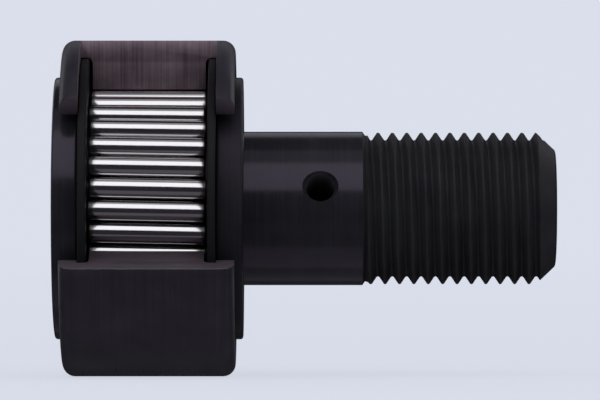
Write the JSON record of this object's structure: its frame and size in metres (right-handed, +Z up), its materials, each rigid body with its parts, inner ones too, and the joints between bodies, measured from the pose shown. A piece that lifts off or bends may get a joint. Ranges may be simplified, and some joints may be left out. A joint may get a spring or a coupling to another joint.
{
  "type": "cam follower",
  "caption": "Stud-type track roller with full-complement needle rollers, a threaded stud and a display window cut in its outer ring.",
  "frame": {"origin": "on the stud's axis at its shoulder, the outer face of the side plate, where the plain shank begins", "axes": "+X along the stud from the roller to the threaded end, +Z up; the display window faces -Y and up"},
  "size_m": [0.0521, 0.0339, 0.035],
  "materials": {
    "black_oxide_steel": "black oxide over ground steel, satin",
    "needle_steel": "polished bearing steel",
    "washer_plastic": "black moulded plastic, matte"
  },
  "bodies": {
    "stud": {"stud": "black_oxide_steel", "side_plate": "black_oxide_steel"},
    "outer_ring": {"outer_ring": "black_oxide_steel", "thrust_washer_head_side": "washer_plastic", "thrust_washer_plate_side": "washer_plastic"},
    "needle_set": {"needle_roller_01": "needle_steel", "needle_roller_02": "needle_steel", "needle_roller_03": "needle_steel", "needle_roller_04": "needle_steel", "needle_roller_05": "needle_steel", "needle_roller_06": "needle_steel", "needle_roller_07": "needle_steel", "needle_roller_08": "needle_steel", "needle_roller_09": "needle_steel", "needle_roller_10": "needle_steel", "needle_roller_11": "needle_steel", "needle_roller_12": "needle_steel", "needle_roller_13": "needle_steel", "needle_roller_14": "needle_steel", "needle_roller_15": "needle_steel", "needle_roller_16": "needle_steel", "needle_roller_17": "needle_steel", "needle_roller_18": "needle_steel", "needle_roller_19": "needle_steel", "needle_roller_20": "needle_steel", "needle_roller_21": "needle_steel", "needle_roller_22": "needle_steel", "needle_roller_23": "needle_steel", "needle_roller_24": "needle_steel", "needle_roller_25": "needle_steel", "needle_roller_26": "needle_steel", "needle_roller_27": "needle_steel", "needle_roller_28": "needle_steel", "needle_roller_29": "needle_steel", "needle_roller_30": "needle_steel", "needle_roller_31": "needle_steel"}
  },
  "joints": [
    {"name": "outer_ring_spin", "type": "hinge", "parent": "stud", "child": "outer_ring", "pos_m": [-0.0098, 0, 0], "axis": [1, 0, 0], "continuous": true},
    {"name": "needle_set_orbit", "type": "hinge", "parent": "stud", "child": "needle_set", "pos_m": [-0.0098, 0, 0], "axis": [1, 0, 0], "continuous": true}
  ],
  "couplings": [
    {"joint": "needle_set_orbit", "follows": "outer_ring_spin", "ratio": 0.55}
  ]
}
